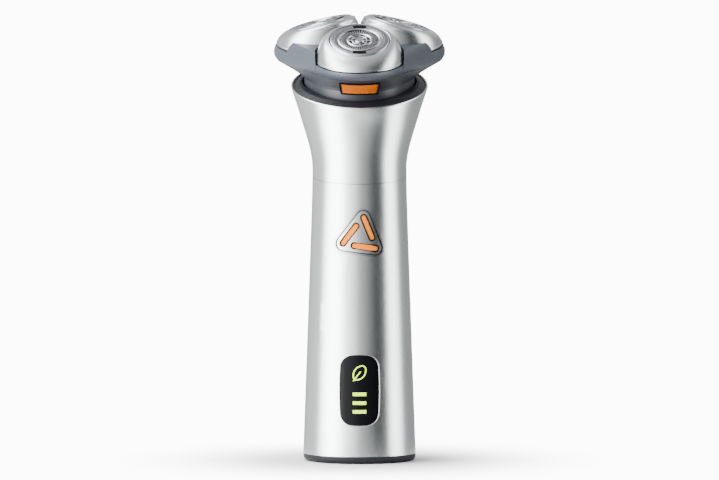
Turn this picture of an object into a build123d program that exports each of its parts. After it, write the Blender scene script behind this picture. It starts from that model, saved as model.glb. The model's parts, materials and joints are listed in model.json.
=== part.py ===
"""Cordless rotary shaver with three flexing heads on a swivelling, flip-open shaving unit.

Row frame: millimetres, +Z up, origin at the centre of the flat foot, front of the shaver towards -Y.
The shaving unit is drawn in a head frame: origin at the centre of the collar rim, +Z along the drive axis,
which leans forward. Heights in the head frame are written as levels above the collar rim.
"""

from build123d import *
from math import atan2, cos, hypot, pi, radians, sin, sqrt, tan
import os

# ---------------------------------------------------------------- driving dimensions
HEIGHT_OF_COLLAR = 138.5
WALL = 1.5
RIM_THINNING = 0.45                 # share of the wall lost at the collar rim
SEAM_GAP = 0.14                     # visible parting line between the two casing shells
HEAD_TILT = 15.5                    # forward lean of the drive axis, degrees
RIM_TILT = 19.0                     # forward lean of the collar rim
COLLAR_CENTRE = (0.0, -6.6, HEIGHT_OF_COLLAR)
BASE_HEIGHT = 2.7                   # dark foot that shows below the casing
SEAM_CENTRE = (0.0, 0.2, 105.0)
SEAM_TILT = 9.0

# handle sections: a slow taper that opens into a flare, leaning forward towards the collar
SECTIONS = 25
FOOT_HALF_WIDTH, TAPER = 20.9, 0.0356
FLARE_START, FLARE_SLOPE, FLARE_SOFTNESS = 112.0, 0.345, 4.5

# front panel features (heights are on the front of the casing)
BUTTON_HEIGHT, BUTTON_ASIDE = 83.2, 0.4
BUTTON_SIDE = 21.0                  # triangle side before rounding
BUTTON_TURN = -7.5
LENS_HEIGHT = 27.0
LENS_SIZE = (14.4, 25.8)

# drive train: involute gears of one module
MODULE = 0.5
PINION_TEETH, DRIVE_TEETH = 12, 20
CENTRAL_TEETH, SPINDLE_TEETH = 38, 20
MOTOR_OFFSET = MODULE * (PINION_TEETH + DRIVE_TEETH) / 2
SPINDLE_RADIUS = MODULE * (CENTRAL_TEETH + SPINDLE_TEETH) / 2

# shaving unit
SWIVEL_LEVEL = -0.5                 # both swivel axes cross the drive axis here
PARTING_LEVEL = 8.0
HINGE_DEPTH, HINGE_LEVEL = 25.0, 8.08
CAP_RADIUS = 10.9
CAP_LEAN = 16.0                     # each head leans outwards
CAP_PLACE = 17.0                    # cap centre from the drive axis
CAP_LEVEL = 21.5
BALL_LEVEL = CAP_LEVEL - (CAP_PLACE - SPINDLE_RADIUS) / tan(radians(CAP_LEAN))
COVER_FOOT_PLACE, COVER_FOOT_LEVEL, COVER_FOOT_RADIUS = 16.9, 13.65, 15.8
SHOULDER_LEVEL = 17.3               # top of the frame where it rises between the covers
PIVOT_RADIUS, PIVOT_LEVEL = 29.2, 12.6
HEADS = {"front": -90.0, "right": 30.0, "left": 150.0}

HEAD = Location(COLLAR_CENTRE, (HEAD_TILT, 0, 0))
RIM = Location(COLLAR_CENTRE, (RIM_TILT, 0, 0))
os.makedirs("parts", exist_ok=True)
NODES = {}


def keep(name, shape):
    """Files a finished sub-part under its node name."""
    solids = shape.solids()
    NODES[name] = solids[0] if len(solids) == 1 else Compound(children=list(solids))


def keep_in_head(name, shape):
    keep(name, HEAD * shape)


# ---------------------------------------------------------------- shared shapes
def tube(outer, inner, low, high):
    ring = Circle(outer) - Circle(inner)
    return Pos(0, 0, low) * extrude(ring, high - low)


def rod(radius, low, high):
    return Pos(0, 0, low) * extrude(Circle(radius), high - low)


def block(x, y, z):
    """Box between (low, high) pairs."""
    size = [b - a for a, b in (x, y, z)]
    return Pos((x[0] + x[1]) / 2, (y[0] + y[1]) / 2, (z[0] + z[1]) / 2) * Box(*size)


def crosswise(shape):
    """Turns something drawn along Z so that it lies along X."""
    return Rot(0, 90, 0) * shape


def turned(points):
    """Solid of revolution about Z from (radius, height) points."""
    return revolve(make_face(Polyline(*[(r, 0, z) for r, z in points], close=True)), Axis.Z)


def involute_gear(teeth, width, bore=0.0, phase=0.0):
    """Spur gear centred on Z with its first tooth at the phase angle, thinned for backlash."""
    pitch, pressure, backlash = MODULE * teeth / 2, radians(20), 0.035
    base, tip, root = pitch * cos(pressure), pitch + 0.85 * MODULE, pitch - 1.15 * MODULE
    half = pi / (2 * teeth) - backlash / pitch + tan(pressure) - pressure
    start = max(base, root + 0.05)

    def flank(radius):
        roll = sqrt(max((radius / base) ** 2 - 1, 0))
        return half - (roll - atan2(roll, 1))

    radii = [start + (tip - start) * i / 3 for i in range(4)]
    outline = []
    for tooth in range(teeth):
        middle = 2 * pi * tooth / teeth + radians(phase)
        lower = [(root, middle - flank(start))] + [(r, middle - flank(r)) for r in radii]
        upper = [(r, 2 * middle - a) for r, a in reversed(lower)]
        outline += [(r * cos(a), r * sin(a)) for r, a in lower + upper]
    gear = extrude(make_face(Polyline(*outline, close=True)), width)
    return gear - rod(bore, -1, width + 1) if bore else gear


def cross_head_screw(length, radius=1.1, head=2.1):
    screw = rod(radius, -length, 0) + rod(head, 0, 1.3)
    slot = Box(2.6, 0.5, 0.8) + Box(0.5, 2.6, 0.8)
    return screw - Pos(0, 0, 1.1) * slot


def trilobe(level, side, side_radius, front, front_radius):
    """Rounded-triangle outline: two side lobes and a front lobe, each (distance, radius)."""
    lobes = []
    for name, angle in HEADS.items():
        distance, radius = (front, front_radius) if name == "front" else (side, side_radius)
        place = Pos(distance * cos(radians(angle)), distance * sin(radians(angle)))
        lobes += (place * CenterArc((0, 0), radius, 0, 360)).edges()
    return Pos(0, 0, level) * make_hull(lobes)


def handle_section(height, inset):
    along = height / HEIGHT_OF_COLLAR
    past = height - FLARE_START
    flare = FLARE_SLOPE * (past + hypot(past, FLARE_SOFTNESS)) / 2
    half_width = FOOT_HALF_WIDTH - TAPER * height + flare
    half_depth = half_width * (0.972 + 0.08 * along ** 4)
    centre = COLLAR_CENTRE[1] * along ** 6 + 1.3 * (along - along ** 6)
    tilt = RIM_TILT * max(0.0, (height - 45) / (HEIGHT_OF_COLLAR - 45)) ** 1.6
    wall = inset * (1 - RIM_THINNING * along ** 12)
    outline = Ellipse(half_width - wall, half_depth - wall)
    return Location((0, centre, height), (tilt, 0, 0)) * outline


def handle_form(inset):
    step = (HEIGHT_OF_COLLAR - BASE_HEIGHT) / (SECTIONS - 1)
    return loft([handle_section(BASE_HEIGHT + step * i, inset) for i in range(SECTIONS)])


def above(centre, tilt, lift=0.0):
    """Everything above a tilted plane."""
    return Location(centre, (tilt, 0, 0)) * Pos(0, 0, 150 + lift) * Box(300, 300, 300)


# ---------------------------------------------------------------- handle: casing
OUTER = handle_form(0.0)
INNER = handle_form(WALL)
CASING = OUTER - INNER


def lens_prism(grow):
    """Prism of the window: all four sides bow outwards a little."""
    half, high = LENS_SIZE[0] / 2 + grow, LENS_SIZE[1] / 2 + grow
    x, z = half - 0.5, high - 0.8
    outline = make_face([
        ThreePointArc((-x, -z), (0, -high), (x, -z)),
        ThreePointArc((x, -z), (half, 0), (x, z)),
        ThreePointArc((x, z), (0, high), (-x, z)),
        ThreePointArc((-x, z), (-half, 0), (-x, -z)),
    ])
    outline = fillet(outline.vertices(), 4.6 + grow)
    return Plane(origin=(0, -40, LENS_HEIGHT), x_dir=(-1, 0, 0), z_dir=(0, 1, 0)) * extrude(outline, 32)


def button_plane(depth):
    facing = Plane(origin=(BUTTON_ASIDE, depth, BUTTON_HEIGHT), x_dir=(1, 0, 0), z_dir=(0, -1, 0))
    return facing * Rot(0, 0, BUTTON_TURN)


def button_triangle(grow):
    rounding = 2.6
    corner = BUTTON_SIDE / sqrt(3) - 2 * rounding
    corners = [(corner * cos(radians(a)), corner * sin(radians(a))) for a in (90, 210, 330)]
    rings = [(Pos(*c) * CenterArc((0, 0), rounding + grow, 0, 360)).edges()[0] for c in corners]
    return make_hull(rings)


def button_bar(grow):
    """One of the three raised bars; each lies along its own side, offset like a pinwheel."""
    return Pos(2.0, -3.65) * SlotOverall(9.8 + 2 * grow, 1.9 + 2 * grow)


def button_prism(sketch, low=-24.0, high=-10.0):
    return button_plane(high) * extrude(sketch, high - low)


def build_casing():
    window = lens_prism(0.08)
    opening = button_prism(button_triangle(0.75))
    lower = CASING - above(SEAM_CENTRE, SEAM_TILT) - window - opening
    upper = CASING & above(SEAM_CENTRE, SEAM_TILT, SEAM_GAP)
    keep("lower_casing", lower)
    keep("neck_casing", upper)
    seam_sleeve = (handle_form(WALL + 0.02) - handle_form(WALL + 1.0)) & above((0, 0, 101), SEAM_TILT)
    keep("seam_sleeve", seam_sleeve - above((0, 0, 109), SEAM_TILT))


def build_foot():
    foot = extrude(Ellipse(20.75, 20.2), BASE_HEIGHT - 0.05)
    foot = fillet(foot.edges().group_by(Axis.Z)[0], 1.9)
    spigot = Pos(0, 0, BASE_HEIGHT - 0.1) * extrude(Ellipse(18.8, 18.2) - Ellipse(17.0, 16.4), 4.6)
    groove = Pos(0, 0, 4.6) * extrude(Ellipse(20, 20) - Ellipse(18.0, 17.4), 1.3)
    socket = Pos(0, 7.5, -1) * extrude(SlotOverall(10.4, 6.4), 20)
    screws = [Pos(x, -8, 0) for x in (-9, 9)]
    foot = foot + spigot - groove - socket
    for place in screws:
        foot -= place * (rod(2.3, -1, 1.5) + rod(1.2, -1, 5))
    keep("foot_cover", foot)
    keep("foot_seal", Pos(0, 0, 4.7) * extrude(Ellipse(18.95, 18.35) - Ellipse(18.05, 17.45), 1.1))
    heads = [place * Pos(0, 0, 1.45) * Rot(180, 0, 0) * cross_head_screw(7, 1.0, 2.1) for place in screws]
    keep("foot_screws", Compound(children=[s.solids()[0] for s in heads]))
    body = Pos(0, 7.5, 0.4) * extrude(SlotOverall(10.2, 6.2), 10.6)
    cavity = Pos(0, 7.5, 0.3) * extrude(SlotOverall(8.6, 4.6), 8.2)
    pins = [Pos(x, 7.5, 1.6) * rod(0.55, 0, 11.0) for x in (-1.9, 1.9)]
    shell = body - cavity
    for pin in pins:
        shell -= pin
    keep("charging_socket", shell)
    keep("socket_pins", Compound(children=[p.solids()[0] for p in pins]))


def build_display():
    lens = (OUTER - handle_form(1.7)) & lens_prism(0.0)
    face = OUTER - handle_form(0.12)
    bars = [block((-2.45, 2.45), (-24, -10), (z - 0.62, z + 0.62)) & face for z in (19.2, 22.4, 25.6)]
    stem = Plane(origin=(0, -10, 33.4), x_dir=(1, 0, 0), z_dir=(0, -1, 0)) * Rot(0, 0, -38)
    leaf_outer = (Pos(-1.5, 0) * Circle(3.7)) & (Pos(1.5, 0) * Circle(3.7)) & Rectangle(6, 6.2)
    leaf_inner = (Pos(-1.5, 0) * Circle(3.25)) & (Pos(1.5, 0) * Circle(3.25)) & Rectangle(6, 5.3)
    vein = Pos(0, -1.55) * Rectangle(0.42, 4.4)
    leaf = (stem * extrude(leaf_outer - leaf_inner + vein, 14)) & face
    for bar in bars:
        lens -= bar
    keep("display_lens", lens - leaf)
    keep("battery_bars", Compound(children=[b.solids()[0] for b in bars]))
    keep("leaf_mark", leaf)
    guide = block((-5, 5), (-16.3, -7.6), (17, 37))
    for z in (19.2, 22.4, 25.6):
        guide -= block((-3, 3), (-17, -7), (z - 1.1, z + 1.1))
    keep("light_guide", guide - block((-3.6, 3.6), (-17, -7), (29, 36)))


def build_power_button():
    bezel = (OUTER - handle_form(1.2)) & button_prism(button_triangle(0.65) - button_triangle(0.2))
    keep("button_bezel", bezel)
    face = (OUTER - handle_form(1.6)) & button_prism(button_triangle(0.05))
    bars = [button_prism(Rot(0, 0, turn) * button_bar(0.0)) for turn in (0, 120, 240)]
    wells = [button_prism(Rot(0, 0, turn) * button_bar(0.28)) for turn in (0, 120, 240)]
    raised = OUTER - handle_form(0.75)
    for well in wells:
        face -= well & raised
    stem = button_plane(-16.2) * Pos(0, 0, -5.0) * extrude(Circle(2.2), 5.0)
    face += stem & INNER
    keep("power_button", face)
    inlays = [(bar & (OUTER - handle_form(0.75))).solids()[0] for bar in bars]
    keep("button_bars", Compound(children=inlays))




# ---------------------------------------------------------------- handle: inside
def build_chassis():
    cradle = block((-11.0, 11.0), (-4.6, 5.0), (11.5, 70)) - Pos(0, 7.0, 0) * rod(7.3, 14.5, 66.5)
    plate = block((-11.5, 11.5), (-4.6, -3.2), (69, 84))
    keep("chassis", cradle + plate)
    cell = Pos(0, 7.0, 0) * (rod(7.0, 15.5, 64.5) + rod(2.6, 64.0, 65.5))
    keep("battery_cell", cell)
    tabs = [block((-3, 3), (4.5, 9.5), (z, z + 0.35)).solids()[0] for z in (14.8, 65.7)]
    keep("battery_tabs", Compound(children=tabs))
    keep("circuit_board", block((-10.5, 10.5), (-6.2, -4.8), (12, 88.4)))
    chips = [
        block((-8, -2), (-7.3, -6.25), (60, 68)),
        block((2, 7), (-7.1, -6.25), (56, 61)),
        block((-3, 3), (-7.4, -6.25), (46, 52)),
    ]
    chips += [block((-1.2, 1.2), (-7.1, -6.25), (z - 0.7, z + 0.7)) for z in (19.2, 22.4, 25.6, 33)]
    keep("board_chips", Compound(children=[c.solids()[0] for c in chips]))
    switch = block((-3, 3), (-9.4, -6.25), (BUTTON_HEIGHT - 3, BUTTON_HEIGHT + 3))
    facing = Plane(origin=(0, -9.4, BUTTON_HEIGHT), x_dir=(1, 0, 0), z_dir=(0, -1, 0))
    stud = facing * extrude(Circle(1.6), 0.8)
    keep("button_switch", switch + stud)


def build_motor():
    """The motor stands beside the drive axis, and its pinion turns the drive gear."""
    motor = HEAD * Pos(0, -MOTOR_OFFSET, 0)
    can = rod(9.0, -43, -20.6) + rod(3.0, -20.8, -19.6) - rod(1.06, -50, -15)
    keep("motor_can", motor * can)
    keep("motor_end_cap", motor * (rod(8.4, -46, -43.05) + rod(3, -47.2, -46) - rod(1.06, -52, -42)))
    holes = [Pos(x, 0, 0) for x in (-6, 6)]
    bores = rod(3.1, -25, -19) + Pos(0, -MOTOR_OFFSET) * rod(3.3, -25, -10)
    mount = handle_slice(-19.4, -17.6) - HEAD * bores
    shaft_hole = HEAD * rod(2.3, -25, -10)
    screws = [motor * p * Pos(0, 0, -17.5) * cross_head_screw(2.9, 0.8, 1.5) for p in holes]
    for p in holes:
        mount -= motor * p * rod(0.95, -25, -10)
    keep("motor_mount", mount - shaft_hole)
    keep("mount_screws", Compound(children=[s.solids()[0] for s in screws]))
    keep("motor_shaft", motor * rod(1.0, -46.6, -12.6))
    pinion = Pos(0, 0, -16.6) * involute_gear(PINION_TEETH, 3.6, 1.0, -90 + 180)
    keep("motor_pinion", motor * pinion)


def handle_slice(low, high):
    """Full-width plate across the inside of the neck, square to the drive axis."""
    slab = HEAD * block((-40, 40), (-40, 40), (low, high))
    return handle_form(WALL + 0.06) & slab


def build_drive():
    """The first tooth gap of the drive gear faces the pinion in front of it."""
    half_tooth = 180 / DRIVE_TEETH
    gear = Pos(0, 0, -16.2) * involute_gear(DRIVE_TEETH, 2.8, 1.3, -90 + half_tooth)
    keep_in_head("drive_gear", gear + tube(2.6, 1.3, -16.9, -12.4))
    tip = Pos(0, 0, 0.9) * extrude(RegularPolygon(1.55, 6), 2.2)
    keep_in_head("drive_shaft", rod(1.3, -20.5, 0.9) + tip)
    keep_in_head("shaft_bush", tube(2.28, 1.33, -19.6, -17.2) + tube(3.2, 1.33, -17.2, -16.95))


def build_deck():
    deck = handle_slice(-9.2, -7.6) + HEAD * tube(11.2, 9.3, -7.7, -3.6) - HEAD * rod(5.35, -12, 0)
    keep("handle_deck", deck)
    keep_in_head("shaft_seal", turned([(1.35, -8.9), (5.3, -8.9), (5.3, -7.8), (2.8, -7.6), (1.35, -6.4)]))


def neck_form(inset, low=-3.0):
    """Neck that stays upright, then spreads into the three-lobed bowl under the heads."""
    sections = []
    for i in range(12):
        level = low + (PARTING_LEVEL - low) * i / 11
        spread = max(0.0, (level - 3) / (PARTING_LEVEL - 3)) ** 1.4
        side, side_radius = 3.2 + 13.8 * spread, 17.5 - 1.9 * spread - inset
        front, front_radius = 3.2 + 6.0 * spread, 17.5 - 2.2 * spread - inset
        sections.append(trilobe(level, side, side_radius, front, front_radius))
    return loft(sections, ruled=True)


def build_collar():
    rim = loft([
        Pos(0, 0, -3.5) * Ellipse(22.8, 23.9),
        Pos(0, 0, -0.15) * Ellipse(24.2, 25.5),
        Pos(0, 0, 1.0) * Ellipse(21.9, 23.0),
    ], ruled=True)
    hollow = Pos(0, 0, -8) * extrude(trilobe(0, 3.2, 18.35, 3.2, 18.35), 16)
    keep("collar_ring", RIM * rim - HEAD * hollow)


# ---------------------------------------------------------------- shaving unit: swivel and chamber
def build_swivel():
    plug = tube(9.2, 6.4, -7.4, -3.2)
    ears = block((7.2, 9.1), (-2.4, 2.4), (-3.4, 1.2))
    pin = crosswise(rod(1.0, 9.0, 12.6))
    for side in (0, 180):
        plug += Rot(0, 0, side) * (ears + Pos(0, 0, SWIVEL_LEVEL) * pin)
    keep_in_head("coupling_plug", plug - rod(6.4, -8, 3))
    ring = tube(13.0, 10.2, SWIVEL_LEVEL - 1.6, SWIVEL_LEVEL + 1.6)
    ring -= Pos(0, 0, SWIVEL_LEVEL) * crosswise(rod(1.05, -14, 14))
    studs = Pos(0, 0, SWIVEL_LEVEL) * Rot(0, 0, 90) * (crosswise(rod(1.0, 12.6, 15.6)))
    ring += studs + Rot(0, 0, 180) * studs
    keep_in_head("swivel_ring", ring)


def build_chamber():
    shell = neck_form(0.0) - neck_form(1.3, -3.2)
    floor = (neck_form(1.2) & block((-40, 40), (-40, 40), (3.2, 4.2))) - rod(4.05, 0, 10)
    shell += floor
    lug = block((-2.6, 2.6), (13.7, 15.4), (-2.4, 3.3))
    bore = Pos(0, 0, SWIVEL_LEVEL) * Rot(0, 0, 90) * crosswise(rod(1.05, -17, 17))
    shell += lug + Rot(0, 0, 180) * lug
    shell -= bore
    for angle in HEADS.values():
        shell -= Rot(0, 0, angle) * Pos(SPINDLE_RADIUS, 0) * rod(1.05, 2, 5)
    axle = Pos(0, HINGE_DEPTH, HINGE_LEVEL)
    for low, high in ((-9.0, -4.1), (4.1, 9.0)):
        knuckle = axle * crosswise(rod(1.7, low, high))
        web = block((low, high), (22.6, HINGE_DEPTH), (HINGE_LEVEL - 1.7, HINGE_LEVEL))
        shell += knuckle + web
    shell -= axle * crosswise(rod(1.95, -3.95, 3.95))
    shell -= axle * crosswise(rod(0.8, -10, 10))
    pocket = button_slot(0.25, -18.0)
    keep_in_head("hair_chamber", shell - pocket)
    keep_in_head("hinge_pin", axle * crosswise(rod(0.76, -8.9, 8.9)))
    cover = neck_form(1.45) & block((-40, 40), (-40, 40), (7.0, 7.8))
    for angle in HEADS.values():
        cover -= Rot(0, 0, angle) * Pos(SPINDLE_RADIUS, 0) * rod(1.35, 6, 9)
    keep_in_head("gearbox_cover", cover - block((-7.8, 7.8), (-40, -20.6), (6, 9)))


def button_slot(grow, back=-19.0):
    """Opening for the release button: a shallow trapezium, wider at its top."""
    low, high = 2.4 - grow, 6.5 + grow
    top, bottom = 7.1 + grow, 6.4 + grow
    face = make_face(Polyline((-bottom, low), (bottom, low), (top, high), (-top, high), close=True))
    return Plane(origin=(0, back, 0), x_dir=(1, 0, 0), z_dir=(0, -1, 0)) * extrude(face, 12)


def build_release():
    skin = neck_form(-0.25) - neck_form(1.0)
    button = skin & button_slot(0.0)
    keep_in_head("release_button", button.solids().sort_by(SortBy.VOLUME)[-1])


def build_gears():
    phase = 90.0
    central = Pos(0, 0, 4.6) * involute_gear(CENTRAL_TEETH, 2.0, 0.0, phase)
    hub = rod(4.0, 0.6, 4.7) + rod(1.2, 6.6, 6.9)
    pocket = Pos(0, 0, 0.5) * extrude(RegularPolygon(2.75, 6), 3.3)
    keep_in_head("central_gear", central + hub - pocket)
    for name, angle in HEADS.items():
        place = Rot(0, 0, angle) * Pos(SPINDLE_RADIUS, 0)
        facing = mesh_phase(angle, phase)
        gear = Pos(0, 0, 4.7) * involute_gear(SPINDLE_TEETH, 1.8, 0.0, facing)
        shaft = rod(1.0, 3.3, 4.8) + rod(1.25, 6.4, BALL_LEVEL)
        tip = Pos(0, 0, BALL_LEVEL - 1.1) * extrude(RegularPolygon(1.5, 6), 2.2)
        keep_in_head(f"spindle_{name}", place * (gear + shaft + tip))


def mesh_phase(angle, central_phase):
    """Turn of a spindle gear, in its own frame, that puts a tooth gap on a tooth of the central gear."""
    pitch = 360 / CENTRAL_TEETH
    ahead = (angle - central_phase) % pitch
    turn = ahead * CENTRAL_TEETH / SPINDLE_TEETH
    return 180 + 180 / SPINDLE_TEETH + turn


# ---------------------------------------------------------------- shaving unit: top frame and heads
def cap_frame(angle):
    """Frame on a cap's centre: +Z out of the cap, +X pointing away from the drive axis."""
    return Rot(0, 0, angle) * Location((CAP_PLACE, 0, CAP_LEVEL), (0, CAP_LEAN, 0))


def frame_form(inset, foot=8.2, top=13.2):
    sections = [
        trilobe(foot, 17.0, 15.9 - inset, 9.2, 15.6 - inset),
        trilobe(10.6, 17.2, 16.7 - inset, 13.6, 16.0 - inset),
        trilobe(top, 17.2, 15.9 - inset, 17.0, 15.9 - inset),
    ]
    return loft(sections)


def cover_form(thinner):
    """Domed form over one cap, from a level foot to a leaning crown."""
    sections = []
    for i in range(11):
        turn = radians(9 * i)
        rise, radius = sin(turn), 11.2 + (COVER_FOOT_RADIUS - 11.2) * cos(turn)
        place = COVER_FOOT_PLACE + (CAP_PLACE - COVER_FOOT_PLACE) * rise
        level = COVER_FOOT_LEVEL + (CAP_LEVEL - COVER_FOOT_LEVEL) * rise
        frame = Location((place, 0, level), (0, CAP_LEAN * rise, 0)) * Pos(0, 0, -thinner)
        sections.append(frame * Circle(radius - thinner))
    return loft(sections)


def shoulders():
    """Parts of the frame that rise between the covers, clear of them by a narrow gap."""
    raised = loft([
        trilobe(11.2, 17.2, 15.9, 16.0, 15.9),
        trilobe(13.2, 17.2, 15.9, 17.0, 15.9),
        trilobe(15.6, 17.2, 15.5, 17.0, 15.5),
        trilobe(SHOULDER_LEVEL, 17.2, 14.6, 17.0, 14.6),
    ])
    for angle in HEADS.values():
        place = Rot(0, 0, angle)
        raised -= place * Pos(COVER_FOOT_PLACE, 0) * rod(COVER_FOOT_RADIUS + 0.7, 10, COVER_FOOT_LEVEL + 0.7)
        raised -= place * cover_form(-0.7)
    between = block((8, 40), (-12, 12), (11, 20))
    return raised & (Rot(0, 0, 90) * between + Rot(0, 0, 210) * between + Rot(0, 0, 330) * between)


def build_frame():
    wall = frame_form(0.0) - frame_form(1.3, 8.1, 13.3)
    deck = frame_form(1.2) & block((-40, 40), (-40, 40), (10.3, 11.6))
    hinge = Pos(0, HINGE_DEPTH, HINGE_LEVEL)
    knuckle = hinge * crosswise(rod(1.7, -3.8, 3.8)) + block((-3.8, 3.8), (23.2, HINGE_DEPTH), (8.3, 9.8))
    for angle in HEADS.values():
        deck -= cap_frame(angle) * rod(10.0, -14, 6)
    for angle in HEADS.values():
        for side in (-4.9, 4.9):
            ear = block((PIVOT_RADIUS - 1.3, PIVOT_RADIUS + 1.4), (side - 0.7, side + 0.7), (10.4, 13.5))
            deck += (Rot(0, 0, angle) * ear) & frame_form(0.5)
    frame = wall + deck + shoulders() + knuckle
    for angle in HEADS.values():
        frame -= Rot(0, 0, angle) * Pos(PIVOT_RADIUS, 0, PIVOT_LEVEL) * pivot_rod(0.76, 6.5)
    for low, high in ((-9.3, -3.95), (3.95, 9.3)):
        frame -= hinge * crosswise(rod(1.95, low, high))
    frame -= hinge * crosswise(rod(0.8, -10, 10))
    tongue = block((-3, 3), (-28.0, -21.1), (8.7, 9.7)) & frame_form(0.5)
    tongue += block((-3, 3), (-21.9, -21.1), (7.2, 9.7))
    keep_in_head("head_frame", frame + tongue)


def pivot_rod(radius, half_length):
    """Rod along the tangent, in a head's own turned frame."""
    return Rot(90, 0, 0) * rod(radius, -half_length, half_length)


def sector(gap):
    """The third of the plan that belongs to one head, short of its neighbours by the gap."""
    start, reach = gap / sin(radians(60)), 60
    spread = (reach - start) * tan(radians(60))
    return extrude(make_face(Polyline((start, 0), (reach, spread), (reach, -spread), close=True)), 60)


def below_foot():
    return block((0, 40), (-20, 20), (5, COVER_FOOT_LEVEL + 0.01))


def head_cover():
    """Cover in its own turned frame: a thin dome with closed sides, a socket rim and a pivot bar."""
    to_cap = cap_frame(0)
    holder = (cover_form(0.0) & sector(0.4)) - (cover_form(1.1) & sector(1.5)) - to_cap * rod(11.05, -4, 4)
    rim = (to_cap * tube(13.4, 11.95, -3.4, -1.0)) & sector(0.9)
    bar = Pos(PIVOT_RADIUS, 0, PIVOT_LEVEL) * pivot_rod(0.7, 5.6)
    web = block((PIVOT_RADIUS - 0.6, PIVOT_RADIUS + 0.5), (-3.6, 3.6), (12.4, 16.6))
    web &= cover_form(0.3) + below_foot()
    return holder + rim + bar + (web - to_cap * rod(12.1, -14, 0))


def build_heads():
    for name, angle in HEADS.items():
        place = Rot(0, 0, angle)
        to_cap = cap_frame(angle)
        keep_in_head(f"head_cover_{name}", place * head_cover())
        keep_in_head(f"shaving_cap_{name}", to_cap * shaving_cap())
        keep_in_head(f"cutter_{name}", to_cap * cutter())
        keep_in_head(f"retaining_ring_{name}", to_cap * retaining_ring())


def shaving_cap():
    """Slotted metal cap: two raised shaving tracks, a dished centre and a flange below."""
    outer = turned([(0, -0.1), (3.6, -0.1), (4.2, 0.35), (9.9, 0.35), (10.6, -0.1), (CAP_RADIUS, -0.6),
                    (CAP_RADIUS, -2.2), (11.6, -2.2), (11.6, -2.6), (0, -2.6)])
    inner = turned([(0, -0.6), (3.4, -0.6), (4.1, -0.1), (9.7, -0.1), (10.4, -0.7), (10.4, -3), (0, -3)])
    cap = outer - inner
    slots = Compound(children=[
        (Rot(0, 0, 360 * i / 24) * block((5.0, 9.3), (-0.2, 0.2), (-1, 1))).solids()[0] for i in range(24)
    ])
    return cap - slots


def cutter():
    """Rotor with upright blades under the cap and a hub that takes the spindle tip."""
    disc = tube(8.9, 2.0, -2.7, -2.0)
    depth = (CAP_LEVEL - BALL_LEVEL) / cos(radians(CAP_LEAN))
    hub = rod(3.3, -depth - 0.9, -2.0)
    hub -= Pos(0, 0, -depth - 1.0) * extrude(RegularPolygon(2.7, 6), 3.8)
    rotor = disc + hub
    for i in range(9):
        rotor += Rot(0, 0, 40 * i) * Pos(7.0, 0, -1.25) * Rot(22, 0, 0) * Box(3.4, 0.5, 1.7)
    return rotor & rod(9.5, -20, -0.3)


def retaining_ring():
    """Plastic ring that presses the cap up into its cover."""
    ring = tube(11.6, 9.6, -3.9, -2.65)
    for i in range(3):
        ring += Rot(0, 0, 60 + 120 * i) * block((3.9, 10), (-0.6, 0.6), (-3.9, -3.1))
    return ring + tube(4.6, 3.5, -4.2, -3.1)


build_casing()
build_foot()
build_display()
build_power_button()
build_chassis()
build_motor()
build_drive()
build_deck()
build_collar()
build_swivel()
build_chamber()
build_release()
build_gears()
build_frame()
build_heads()
for node, solid in NODES.items():
    export_step(solid, f"parts/{node}.step")
print(len(NODES), "nodes")
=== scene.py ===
import json
from math import cos, pi, radians, sin

import bmesh
import bpy
from mathutils import Matrix, Vector
from mathutils.bvhtree import BVHTree


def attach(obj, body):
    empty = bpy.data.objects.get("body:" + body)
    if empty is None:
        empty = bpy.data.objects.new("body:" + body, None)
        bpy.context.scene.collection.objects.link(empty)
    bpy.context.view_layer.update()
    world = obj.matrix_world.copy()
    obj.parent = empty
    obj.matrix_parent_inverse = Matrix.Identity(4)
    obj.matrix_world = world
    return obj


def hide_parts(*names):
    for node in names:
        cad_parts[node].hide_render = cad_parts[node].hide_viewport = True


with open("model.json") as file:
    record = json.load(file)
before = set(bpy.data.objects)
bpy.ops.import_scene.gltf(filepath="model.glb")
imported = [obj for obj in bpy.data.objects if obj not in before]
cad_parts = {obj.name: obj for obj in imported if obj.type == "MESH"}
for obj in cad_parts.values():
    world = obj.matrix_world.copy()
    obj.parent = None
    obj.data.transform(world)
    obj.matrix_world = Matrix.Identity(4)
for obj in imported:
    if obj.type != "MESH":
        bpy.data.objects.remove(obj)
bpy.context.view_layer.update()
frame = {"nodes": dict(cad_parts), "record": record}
NODES = frame["nodes"]
MM = 0.001

# places shared with the row frame, in its millimetres and degrees
COLLAR = Vector((0, -6.6, 138.5)) * MM
HEAD_TILT, RIM_TILT = 15.5, 19.0
HEAD = Matrix.Translation(COLLAR) @ Matrix.Rotation(radians(HEAD_TILT), 4, "X")
RIM = Matrix.Translation(COLLAR) @ Matrix.Rotation(radians(RIM_TILT), 4, "X")
HEADS = {"front": -90, "right": 30, "left": 150}
CAP_LEAN, CAP_PLACE, CAP_LEVEL = 16, 17.0, 21.5
COVER_FOOT_PLACE = 16.9
BUTTON_ASIDE, BUTTON_HEIGHT, BUTTON_TURN = 0.4, 83.2, -7.5
BACKWARDS = Vector((0, 1, 0))
BACK_INTO_HEAD = HEAD.to_3x3() @ BACKWARDS


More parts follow.
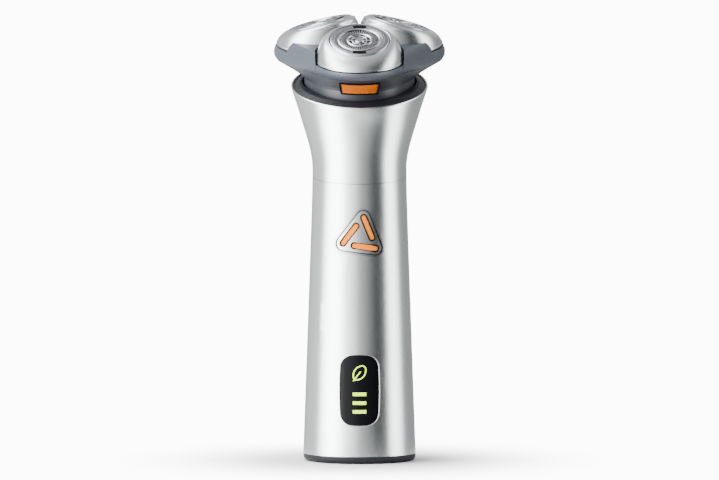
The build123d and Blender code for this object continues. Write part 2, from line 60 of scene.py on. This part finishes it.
# ---------------------------------------------------------------- materials
def material(name, colour, metallic=0.0, roughness=0.4, vary=0.06, rough_vary=0.06, scale=400,
             bump=0.05, spec=0.5):
    """Painted, moulded or ground surface: cloudy colour, uneven gloss and a fine grain."""
    mat = bpy.data.materials.new(name)
    mat.use_nodes = True
    tree = mat.node_tree
    tree.nodes.clear()
    add, link = tree.nodes.new, tree.links.new
    out = add("ShaderNodeOutputMaterial")
    shader = add("ShaderNodeBsdfPrincipled")
    link(shader.outputs[0], out.inputs[0])
    shader.inputs["Metallic"].default_value = metallic
    shader.inputs["Specular IOR Level"].default_value = spec
    coords = add("ShaderNodeTexCoord")
    cloud = add("ShaderNodeTexNoise")
    cloud.inputs["Scale"].default_value = 45
    cloud.inputs["Detail"].default_value = 3
    link(coords.outputs["Object"], cloud.inputs["Vector"])
    grain = add("ShaderNodeTexNoise")
    grain.inputs["Scale"].default_value = scale
    grain.inputs["Detail"].default_value = 4
    link(coords.outputs["Object"], grain.inputs["Vector"])
    mix = add("ShaderNodeMix")
    mix.data_type = "RGBA"
    mix.inputs["A"].default_value = (*[c * (1 - vary) for c in colour], 1)
    mix.inputs["B"].default_value = (*[min(1, c * (1 + vary)) for c in colour], 1)
    link(grain.outputs[0], mix.inputs["Factor"])
    link(mix.outputs["Result"], shader.inputs["Base Color"])
    spread = add("ShaderNodeMapRange")
    spread.inputs["From Min"].default_value = 0.3
    spread.inputs["From Max"].default_value = 0.7
    spread.inputs["To Min"].default_value = max(0.02, roughness - rough_vary)
    spread.inputs["To Max"].default_value = roughness + rough_vary
    link(cloud.outputs[0], spread.inputs["Value"])
    link(spread.outputs["Result"], shader.inputs["Roughness"])
    relief = add("ShaderNodeBump")
    relief.inputs["Strength"].default_value = bump
    relief.inputs["Distance"].default_value = 0.0001
    link(grain.outputs[0], relief.inputs["Height"])
    link(relief.outputs[0], shader.inputs["Normal"])
    return mat


def glowing(name, colour, strength):
    """Lit segment behind a dark window, a little uneven from end to end."""
    mat = material(name, colour, roughness=0.3)
    shader = next(n for n in mat.node_tree.nodes if n.type == "BSDF_PRINCIPLED")
    shader.inputs["Emission Strength"].default_value = strength
    mix = next(n for n in mat.node_tree.nodes if n.type == "MIX")
    mat.node_tree.links.new(mix.outputs["Result"], shader.inputs["Emission Color"])
    return mat


def patterned(mat, scale, depth, strength):
    """Adds fine level ridges over a material's own grain."""
    tree = mat.node_tree
    grain = next(n for n in tree.nodes if n.type == "BUMP")
    coords = next(n for n in tree.nodes if n.type == "TEX_COORD")
    pattern = tree.nodes.new("ShaderNodeTexWave")
    pattern.bands_direction = "Z"
    pattern.inputs["Scale"].default_value = scale
    tree.links.new(coords.outputs["Object"], pattern.inputs["Vector"])
    relief = tree.nodes.new("ShaderNodeBump")
    relief.inputs["Strength"].default_value = strength
    relief.inputs["Distance"].default_value = depth
    tree.links.new(pattern.outputs[0], relief.inputs["Height"])
    tree.links.new(relief.outputs[0], grain.inputs["Normal"])


# each look is its colour and, in order: metallic, roughness, colour variation, roughness variation,
# grain scale, grain relief and specular level
LOOKS = {
    "satin_silver": ((0.555, 0.585, 0.588), 1.0, 0.24, 0.04, 0.01, 2600, 0.06, 0.5),
    "silver_cover": ((0.44, 0.46, 0.465), 1.0, 0.26, 0.04, 0.02, 2400, 0.08, 0.5),
    "cap_steel": ((0.38, 0.39, 0.41), 1.0, 0.22, 0.08, 0.06, 1500, 0.05, 0.5),
    "blade_steel": ((0.55, 0.56, 0.58), 1.0, 0.32, 0.08, 0.06, 1200, 0.1, 0.5),
    "plain_steel": ((0.52, 0.53, 0.54), 1.0, 0.36, 0.08, 0.06, 900, 0.1, 0.5),
    "slate_plastic": ((0.034, 0.041, 0.052), 0.2, 0.40, 0.06, 0.03, 2200, 0.06, 0.3),
    "neck_plastic": ((0.014, 0.016, 0.020), 0.0, 0.40, 0.1, 0.04, 2000, 0.08, 0.35),
    "collar_plastic": ((0.005, 0.006, 0.009), 0.0, 0.45, 0.1, 0.04, 2000, 0.1, 0.2),
    "foot_plastic": ((0.010, 0.011, 0.013), 0.0, 0.50, 0.1, 0.04, 1800, 0.1, 0.15),
    "orange_plastic": ((0.62, 0.15, 0.001), 0.0, 0.50, 0.05, 0.04, 1500, 0.06, 0.12),
    "display_black": ((0.002, 0.002, 0.003), 0.0, 0.12, 0.2, 0.03, 500, 0.0, 0.10),
    "inner_plastic": ((0.045, 0.045, 0.05), 0.0, 0.5, 0.1, 0.05, 1500, 0.15, 0.5),
    "white_plastic": ((0.78, 0.78, 0.75), 0.0, 0.45, 0.03, 0.05, 1500, 0.1, 0.5),
    "board_green": ((0.015, 0.14, 0.05), 0.0, 0.35, 0.15, 0.05, 1200, 0.1, 0.5),
    "chip_black": ((0.015, 0.015, 0.015), 0.0, 0.5, 0.1, 0.05, 1800, 0.2, 0.5),
    "cell_wrap": ((0.03, 0.13, 0.38), 0.0, 0.25, 0.06, 0.05, 700, 0.05, 0.5),
    "contact_brass": ((0.78, 0.57, 0.25), 1.0, 0.28, 0.06, 0.05, 1000, 0.06, 0.5),
    "seal_rubber": ((0.025, 0.025, 0.025), 0.0, 0.7, 0.1, 0.05, 1500, 0.2, 0.5),
    # darker copy of the orange: painted shade between the release button's pyramids
    "painted_shade_orange": ((0.24, 0.05, 0.001), 0.0, 0.5, 0.05, 0.04, 1500, 0.06, 0.1),
    # near black: painted shade in the gaps round the buttons and under the caps' slots, and the caps' two
    # dark marks
    "painted_shade_and_marks": ((0.002, 0.002, 0.002), 0.0, 0.7, 0.1, 0.05, 1000, 0.1, 0.03),
}
SLOTS = {name: material(name, *look) for name, look in LOOKS.items()}
patterned(SLOTS["collar_plastic"], 900, 0.00012, 0.7)
SLOTS["lit_green"] = glowing("lit_green", (0.42, 0.68, 0.03), 1.5)
PAINTED_SHADE_AND_MARKS, PAINTED_SHADE_ORANGE = SLOTS["painted_shade_and_marks"], SLOTS["painted_shade_orange"]

for part in frame["record"]["subparts"]:
    mesh = NODES[part["node"]].data
    mesh.materials.clear()
    mesh.materials.append(SLOTS[part["material_slot"]])
# the release button's body takes the darker orange, painted shade between its knurl's brighter pyramids
NODES["release_button"].data.materials[0] = PAINTED_SHADE_ORANGE


# ---------------------------------------------------------------- helpers for new pieces
def piece(name, verts, faces, mats, body, place=Matrix.Identity(4), face_mats=None, smooth=30):
    """New object from millimetre coordinates in its own place, riding on a body."""
    mesh = bpy.data.meshes.new(name)
    mesh.from_pydata([place @ (Vector(v) * MM) for v in verts], [], faces)
    for mat in mats:
        mesh.materials.append(mat)
    if face_mats:
        mesh.polygons.foreach_set("material_index", face_mats)
    mesh.validate()
    work = bmesh.new()
    work.from_mesh(mesh)
    bmesh.ops.remove_doubles(work, verts=work.verts, dist=1e-7)
    bmesh.ops.recalc_face_normals(work, faces=work.faces)
    work.to_mesh(mesh)
    work.free()
    mesh.shade_smooth()
    mesh.set_sharp_from_angle(angle=radians(smooth))
    obj = bpy.data.objects.new(name, mesh)
    bpy.context.scene.collection.objects.link(obj)
    if body:
        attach(obj, body)
    return obj


class Build:
    """Collects quads in millimetres before they become one piece."""

    def __init__(self):
        self.verts, self.faces, self.mats = [], [], []

    def ring(self, points, mat=0, steps=96, start=0.0, stop=2 * pi):
        """Closed profile of (radius, height) points turned about Z, whole or capped at both ends."""
        whole = abs(stop - start - 2 * pi) < 1e-9
        base, count = len(self.verts), len(points)
        rows = steps if whole else steps + 1
        for i in range(rows):
            a = start + (stop - start) * i / steps
            self.verts += [(r * cos(a), r * sin(a), z) for r, z in points]
        for i in range(steps):
            here, there = base + i * count, base + ((i + 1) % rows) * count
            for j in range(count):
                k = (j + 1) % count
                self.faces.append((here + j, here + k, there + k, there + j))
                self.mats.append(mat)
        if not whole:
            self.faces.append(tuple(base + j for j in range(count)))
            self.faces.append(tuple(base + steps * count + j for j in reversed(range(count))))
            self.mats += [mat, mat]

    def disc(self, radius, low, high, mat=0, steps=48, round_off=0.3):
        """Flat disc with a bevelled upper edge."""
        centre = 0.01
        self.ring([(centre, low), (radius, low), (radius, high - round_off), (radius - round_off, high),
                   (centre, high)], mat, steps)


def cap_place(angle):
    """Place of a head's cap, which leans outwards on its cover."""
    spot = Matrix.Translation(Vector((CAP_PLACE, 0, CAP_LEVEL)) * MM)
    return HEAD @ Matrix.Rotation(radians(angle), 4, "Z") @ spot @ Matrix.Rotation(radians(CAP_LEAN), 4, "Y")


# ---------------------------------------------------------------- shaving caps
def arc_profile(inner, outer, top, crown, thick, points=5):
    """Thin crowned strip between two radii."""
    upper = []
    for i in range(points):
        t = i / (points - 1)
        upper.append((inner + (outer - inner) * t, top + crown * (1 - (2 * t - 1) ** 2)))
    return upper + [(r, z - thick) for r, z in reversed(upper)]


def shaving_cap(name, angle):
    """Slotted cap with two ribbed tracks, a dark ring of painted shade under the inner track's slots, a hub
    and two dark marks, and the bright lip round it.
    """
    b = Build()
    b.ring([(10.35, 0.28), (10.6, 0.22), (10.82, 0.02), (10.9, -0.35), (10.9, -2.2), (11.6, -2.2),
            (11.6, -2.6), (10.35, -2.6)], 0, 128)
    ribs = 88
    for i in range(ribs):
        a = 2 * pi * i / ribs
        b.ring(arc_profile(7.9, 10.4, 0.20, 0.16, 0.3), 0, 1, a - 0.019, a + 0.019)
        if i % 2 == 0:
            b.ring(arc_profile(4.6, 6.9, 0.06, 0.10, 0.3), 0, 1, a - 0.030, a + 0.030)
    b.ring(arc_profile(9.05, 9.25, 0.34, 0.02, 0.2, 3), 0, 96)
    b.ring(arc_profile(7.0, 7.95, 0.26, 0.24, 0.5), 0, 96)
    b.ring(arc_profile(3.9, 4.7, 0.12, 0.26, 0.6), 0, 72)
    # dark ring under the inner track: painted shade seen through its slots
    b.ring([(3.9, -0.35), (4.6, -0.3), (7.0, -0.3), (7.0, -0.5), (3.9, -0.55)], 1, 72)
    for i in range(8):
        a = 2 * pi * i / 8
        b.ring(arc_profile(1.7, 4.0, -0.05, 0.08, 0.4), 0, 2, a - 0.13, a + 0.13)
    b.ring(arc_profile(2.55, 2.85, 0.02, 0.1, 0.3), 0, 48)
    b.disc(1.75, -0.6, 0.22, 0, 40, 0.35)
    for middle in (0.0, pi):
        b.ring(arc_profile(8.0, 9.9, 0.36, 0.04, 0.1), 1, 14, middle - 0.27, middle + 0.27)
    obj = piece(f"slotted_cap_{name}", b.verts, b.faces, [SLOTS["cap_steel"], PAINTED_SHADE_AND_MARKS], f"cover_{name}",
                cap_place(angle), b.mats, 40)
    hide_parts(f"shaving_cap_{name}")
    lip = Build()
    lip.ring([(11.08, -0.2), (11.12, 0.08), (11.3, 0.16), (11.5, 0.08), (11.55, -0.15)], 0, 128)
    piece(f"cap_lip_{name}", lip.verts, lip.faces, [SLOTS["cap_steel"]], f"cover_{name}",
          cap_place(angle))


for head, turn in HEADS.items():
    shaving_cap(head, turn)


# ---------------------------------------------------------------- trim on the handle
def tube(name, path, radius, mat, body, facing=-BACKWARDS, steps=10):
    """Round bead along a closed path of points in metres that runs across the facing direction."""
    verts, faces, n = [], [], len(path)
    for i, spot in enumerate(path):
        along = (path[(i + 1) % n] - path[i - 1]).normalized()
        out = along.cross(facing).normalized()
        up = along.cross(out)
        for j in range(steps):
            a = 2 * pi * j / steps
            verts.append((spot + (out * cos(a) + up * sin(a)) * radius) / MM)
    for i in range(n):
        for j in range(steps):
            k, m = (j + 1) % steps, (i + 1) % n
            faces.append((i * steps + j, i * steps + k, m * steps + k, m * steps + j))
    return piece(name, verts, faces, [mat], body, smooth=60)


def surface_of(*names):
    """Search tree over the named nodes' meshes, in metres."""
    verts, faces = [], []
    for name in names:
        base, mesh = len(verts), NODES[name].data
        verts += [v.co.copy() for v in mesh.vertices]
        faces += [[base + i for i in p.vertices] for p in mesh.polygons]
    return BVHTree.FromPolygons(verts, faces)


FRONT = surface_of("lower_casing", "display_lens", "power_button", "button_bars", "button_bezel")


def foremost(skin, start, way, sink=0.0, reach=0.6 * MM):
    """Skin under start, bridging narrow gaps: the nearest of the hits around it, pushed in by sink."""
    across = way.orthogonal().normalized()
    other = way.cross(across)
    depths = []
    for i in range(8):
        a = 2 * pi * i / 8
        hit = skin.ray_cast(start + (across * cos(a) + other * sin(a)) * reach, way)[0]
        if hit is not None:
            depths.append((hit - start).dot(way))
    return start + way * (min(depths) + sink)


def on_front(x, z, sink=0.0):
    """Point of the handle's front at (x, z) in metres, pushed in by sink."""
    return foremost(FRONT, Vector((x, -0.06, z)), BACKWARDS, sink)


def hull_path(node, grow, count=120):
    """Convex outline of a node seen from the front, grown outwards, as (x, z) in metres."""
    pts = sorted({(round(v.co.x, 6), round(v.co.z, 6)) for v in NODES[node].data.vertices})

    def half(points):
        line = []
        for p in points:
            while len(line) > 1 and ((line[-1][0] - line[-2][0]) * (p[1] - line[-2][1])
                                     - (line[-1][1] - line[-2][1]) * (p[0] - line[-2][0])) <= 0:
                line.pop()
            line.append(p)
        return line[:-1]

    hull = [Vector(p) for p in half(pts) + half(pts[::-1])]
    lengths = [(hull[(i + 1) % len(hull)] - hull[i]).length for i in range(len(hull))]
    total, path = sum(lengths), []
    for k in range(count):
        want, i = total * k / count, 0
        while want > lengths[i]:
            want -= lengths[i]
            i += 1
        path.append(hull[i].lerp(hull[(i + 1) % len(hull)], want / lengths[i]))
    grown = []
    for k in range(count):
        along = (path[(k + 1) % count] - path[k - 1]).normalized()
        grown.append(path[k] + Vector((along.y, -along.x)) * grow)
    return grown


def capsule(centre, half_length, half_width, count=14):
    """Outline of a long round-ended bar along X."""
    outline = []
    for side in (1, -1):
        for i in range(count + 1):
            a = pi * i / count
            outline.append((centre[0] + side * (half_length + half_width * sin(a)),
                            centre[1] + side * half_width * cos(a)))
    return outline


def front_trim():
    """Bright edge round the display, and dark tubes of painted shade in the gaps round the power button and
    its three bars.
    """
    rim = [on_front(p.x, p.y, -0.02 * MM) for p in hull_path("display_lens", 0.16 * MM)]
    tube("display_edge", rim, 0.16 * MM, SLOTS["silver_cover"], "handle")
    # dark tube of painted shade in the gap round the power button
    rim = [on_front(p.x, p.y, 0.05 * MM) for p in hull_path("power_button", -0.10 * MM)]
    tube("button_gap_shade", rim, 0.12 * MM, PAINTED_SHADE_AND_MARKS, "power_button")
    # dark tubes of painted shade in the gaps round the three bars
    for k in range(3):
        spin = Matrix.Rotation(radians(120 * k + BUTTON_TURN), 2)
        path = []
        for p in capsule((2.0, -3.65), 3.95, 1.09):
            q = spin @ Vector(p)
            path.append(on_front((q.x + BUTTON_ASIDE) * MM, (q.y + BUTTON_HEIGHT) * MM, 0.08 * MM))
        tube(f"bar_gap_shade_{k}", path, 0.27 * MM, PAINTED_SHADE_AND_MARKS, "power_button")


def shade_round_release():
    """Dark tube of painted shade in the gap round the release button."""
    skin = surface_of("release_button", "hair_chamber")
    corners = [(-6.55, 2.25), (6.55, 2.25), (7.25, 6.62), (-7.25, 6.62)]
    path, points = [], 16
    for (x0, h0), (x1, h1) in zip(corners, corners[1:] + corners[:1]):
        for i in range(points):
            t = i / points
            start = HEAD @ (Vector((x0 + (x1 - x0) * t, -32, h0 + (h1 - h0) * t)) * MM)
            path.append(foremost(skin, start, BACK_INTO_HEAD, 0.12 * MM))
    tube("release_gap_shade", path, 0.30 * MM, PAINTED_SHADE_AND_MARKS, "chamber")


def rim_bead():
    """Rounded bright edge of the flared rim."""
    half_width, half_depth, level, points = 24.74, 26.06, -0.08, 160
    turns = [2 * pi * i / points for i in range(points)]
    path = [RIM @ (Vector((half_width * cos(a), half_depth * sin(a), level)) * MM) for a in turns]
    upwards = RIM.to_3x3() @ Vector((0, 0, 1))
    tube("rim_bead", path, 0.42 * MM, SLOTS["satin_silver"], "handle", upwards)


def knurl():
    """Rows of small pyramids on the release button."""
    skin, verts, faces = surface_of("release_button"), [], []
    across = Vector((1, 0, 0))
    up = across.cross(BACK_INTO_HEAD)
    spacing, row_height, lowest, margin = 0.76, 0.66, 2.8, 0.3
    half_width, half_height, rise, root = 0.31, 0.27, 0.30, 0.03
    for row in range(6):
        for column in range(-9, 10):
            x, h = (column + 0.5 * (row % 2)) * spacing, lowest + row * row_height
            start = HEAD @ (Vector((x, -30, h)) * MM)
            edge = HEAD @ (Vector((x * 1.04 + (margin if x > 0 else -margin), -30, h - margin)) * MM)
            hit, normal, _, _ = skin.ray_cast(start, BACK_INTO_HEAD)
            if hit is None or skin.ray_cast(edge, BACK_INTO_HEAD)[0] is None:
                continue
            if normal.dot(BACK_INTO_HEAD) > -0.6:
                continue
            base = len(verts)
            for u, v, out in ((-1, 0, 0), (0, -1, 0), (1, 0, 0), (0, 1, 0), (0, 0, 1)):
                offset = across * u * half_width + up * v * half_height + normal * (rise * out - root)
                verts.append((hit + offset * MM) / MM)
            faces += [(base + i, base + (i + 1) % 4, base + 4) for i in range(4)]
            faces.append((base + 3, base + 2, base + 1, base))
    piece("release_knurl", verts, faces, [SLOTS["orange_plastic"]], "release", smooth=20)


def cover_edge(name, angle):
    """Rounded lower edge of a head's cover."""
    bead, radius, level, reach = 0.22, 15.72, 14.15, radians(121)
    profile = [(radius + bead * cos(pi * i / 6), level + bead * sin(pi * i / 6)) for i in range(12)]
    b = Build()
    b.ring(profile, 0, 96, -reach, reach)
    foot = Matrix.Translation(Vector((COVER_FOOT_PLACE, 0, 0)) * MM)
    piece(f"cover_edge_{name}", b.verts, b.faces, [SLOTS["silver_cover"]], f"cover_{name}",
          HEAD @ Matrix.Rotation(radians(angle), 4, "Z") @ foot, smooth=60)


for head, turn in HEADS.items():
    cover_edge(head, turn)
front_trim()
rim_bead()
shade_round_release()
knurl()


# ---------------------------------------------------------------- stage, light, camera
def floor():
    """Small pale floor that fades into the plain background."""
    radius, sides, fade_start, fade_end = 0.36, 64, 0.022, 0.10
    mat = material("floor_paper", (0.60, 0.60, 0.60), 0.0, 0.6, 0.01, 0.02, 300, 0.02, spec=0.2)
    tree = mat.node_tree
    shader = next(n for n in tree.nodes if n.type == "BSDF_PRINCIPLED")
    coords = next(n for n in tree.nodes if n.type == "TEX_COORD")
    length = tree.nodes.new("ShaderNodeVectorMath")
    length.operation = "LENGTH"
    tree.links.new(coords.outputs["Object"], length.inputs[0])
    fade = tree.nodes.new("ShaderNodeMapRange")
    fade.interpolation_type = "SMOOTHSTEP"
    fade.inputs["From Min"].default_value = fade_start
    fade.inputs["From Max"].default_value = fade_end
    fade.inputs["To Min"].default_value = 1.0
    fade.inputs["To Max"].default_value = 0.0
    tree.links.new(length.outputs["Value"], fade.inputs["Value"])
    tree.links.new(fade.outputs["Result"], shader.inputs["Alpha"])
    mesh = bpy.data.meshes.new("floor")
    turns = [2 * pi * i / sides for i in range(sides)]
    mesh.from_pydata([(radius * cos(a), radius * sin(a), 0.0) for a in turns], [], [tuple(range(sides))])
    obj = bpy.data.objects.new("floor", mesh)
    bpy.context.scene.collection.objects.link(obj)
    mesh.materials.append(mat)


# the room's arcs, each from one bearing to another with its brightness; 0 is in front of the shaver and
# positive is towards +X
BACK = 0.5
LEFT_FILL = (-130, -95, 1.4)
SOFT_BOX = (-70, -50, 18.0)
SOFT_BOX_EDGE = (-30, -30, 5.0)
FRONT_FILL = (0, 0, 0.9)
FLAG = (35, 60, 0.06)
STRIP_LIGHT = (72, 84, 8.0)
RIGHT_FILL = (105, 140, 0.5)
ARCS = (LEFT_FILL, SOFT_BOX, SOFT_BOX_EDGE, FRONT_FILL, FLAG, STRIP_LIGHT, RIGHT_FILL)
ROOM = [(-180, BACK)] + [(bearing, level) for start, stop, level in ARCS for bearing in sorted({start, stop})]
ROOM.append((180, BACK))
ROOM_PEAK = SOFT_BOX[2]


def room():
    """Soft boxes and dark flags as arcs that meet behind the shaver, a pale ceiling and a pale backdrop."""
    world = bpy.data.worlds.new("studio")
    bpy.context.scene.world = world
    world.use_nodes = True
    tree = world.node_tree
    tree.nodes.clear()
    add, link = tree.nodes.new, tree.links.new
    coords, split = add("ShaderNodeTexCoord"), add("ShaderNodeSeparateXYZ")
    facing, unit = add("ShaderNodeVectorMath"), add("ShaderNodeVectorMath")
    facing.operation, unit.operation = "SUBTRACT", "NORMALIZE"
    facing.inputs[1].default_value = (0, 1, 0)
    link(coords.outputs["Generated"], facing.inputs[0])
    link(facing.outputs[0], unit.inputs[0])
    link(unit.outputs[0], split.inputs[0])
    flip, bearing, turn = add("ShaderNodeMath"), add("ShaderNodeMath"), add("ShaderNodeMapRange")
    flip.operation = "MULTIPLY"
    flip.inputs[1].default_value = -1
    link(split.outputs["Y"], flip.inputs[0])
    bearing.operation = "ARCTAN2"
    link(split.outputs["X"], bearing.inputs[0])
    link(flip.outputs[0], bearing.inputs[1])
    turn.inputs["From Min"].default_value = -pi / 2
    turn.inputs["From Max"].default_value = pi / 2
    link(bearing.outputs[0], turn.inputs["Value"])
    ramp = add("ShaderNodeValToRGB")
    link(turn.outputs["Result"], ramp.inputs[0])
    stops = ramp.color_ramp.elements
    for i, (degrees, level) in enumerate(ROOM):
        stop = stops[i] if i < 2 else stops.new(1.0)
        stop.position = (degrees + 180) / 360
        stop.color = (*[level / ROOM_PEAK] * 3, 1)
    walls = add("ShaderNodeBackground")
    walls.inputs["Strength"].default_value = ROOM_PEAK
    link(ramp.outputs["Color"], walls.inputs["Color"])
    ceiling = add("ShaderNodeBackground")
    ceiling.inputs["Color"].default_value = (0.97, 0.98, 1.0, 1)
    ceiling.inputs["Strength"].default_value = 1.0
    lift = add("ShaderNodeMapRange")
    lift.interpolation_type = "SMOOTHSTEP"
    lift.inputs["From Min"].default_value = 0.35
    lift.inputs["From Max"].default_value = 0.8
    link(split.outputs["Z"], lift.inputs["Value"])
    above = add("ShaderNodeMixShader")
    link(lift.outputs["Result"], above.inputs[0])
    link(walls.outputs[0], above.inputs[1])
    link(ceiling.outputs[0], above.inputs[2])
    backdrop = add("ShaderNodeBackground")
    backdrop.inputs["Color"].default_value = (1, 1, 1, 1)
    backdrop.inputs["Strength"].default_value = 12.0
    path, pick, out = add("ShaderNodeLightPath"), add("ShaderNodeMixShader"), add("ShaderNodeOutputWorld")
    link(path.outputs["Is Camera Ray"], pick.inputs[0])
    link(above.outputs[0], pick.inputs[1])
    link(backdrop.outputs[0], pick.inputs[2])
    link(pick.outputs[0], out.inputs[0])


def light(name, place, target, size, power):
    """Rectangular area lamp aimed at a target."""
    data = bpy.data.lights.new(name, "AREA")
    data.shape = "RECTANGLE"
    data.size, data.size_y = size
    data.energy = power
    obj = bpy.data.objects.new(name, data)
    bpy.context.scene.collection.objects.link(obj)
    obj.location = place
    obj.rotation_euler = (Vector(target) - Vector(place)).to_track_quat("-Z", "Y").to_euler()


AIM = Vector((0.0, -0.005, 0.0815))
floor()
room()
light("top", (-0.35, 0.1, 0.9), AIM, (0.5, 0.5), 9)

camera = bpy.data.cameras.new("camera")
view = bpy.data.objects.new("camera", camera)
bpy.context.scene.collection.objects.link(view)
bpy.context.scene.camera = view
DISTANCE = 1.6
camera.sensor_width = 36
camera.lens = 36 * DISTANCE / 0.2646
elevation = radians(2)
view.location = AIM + DISTANCE * Vector((0, -cos(elevation), sin(elevation)))
view.rotation_euler = (AIM - view.location).to_track_quat("-Z", "Y").to_euler()
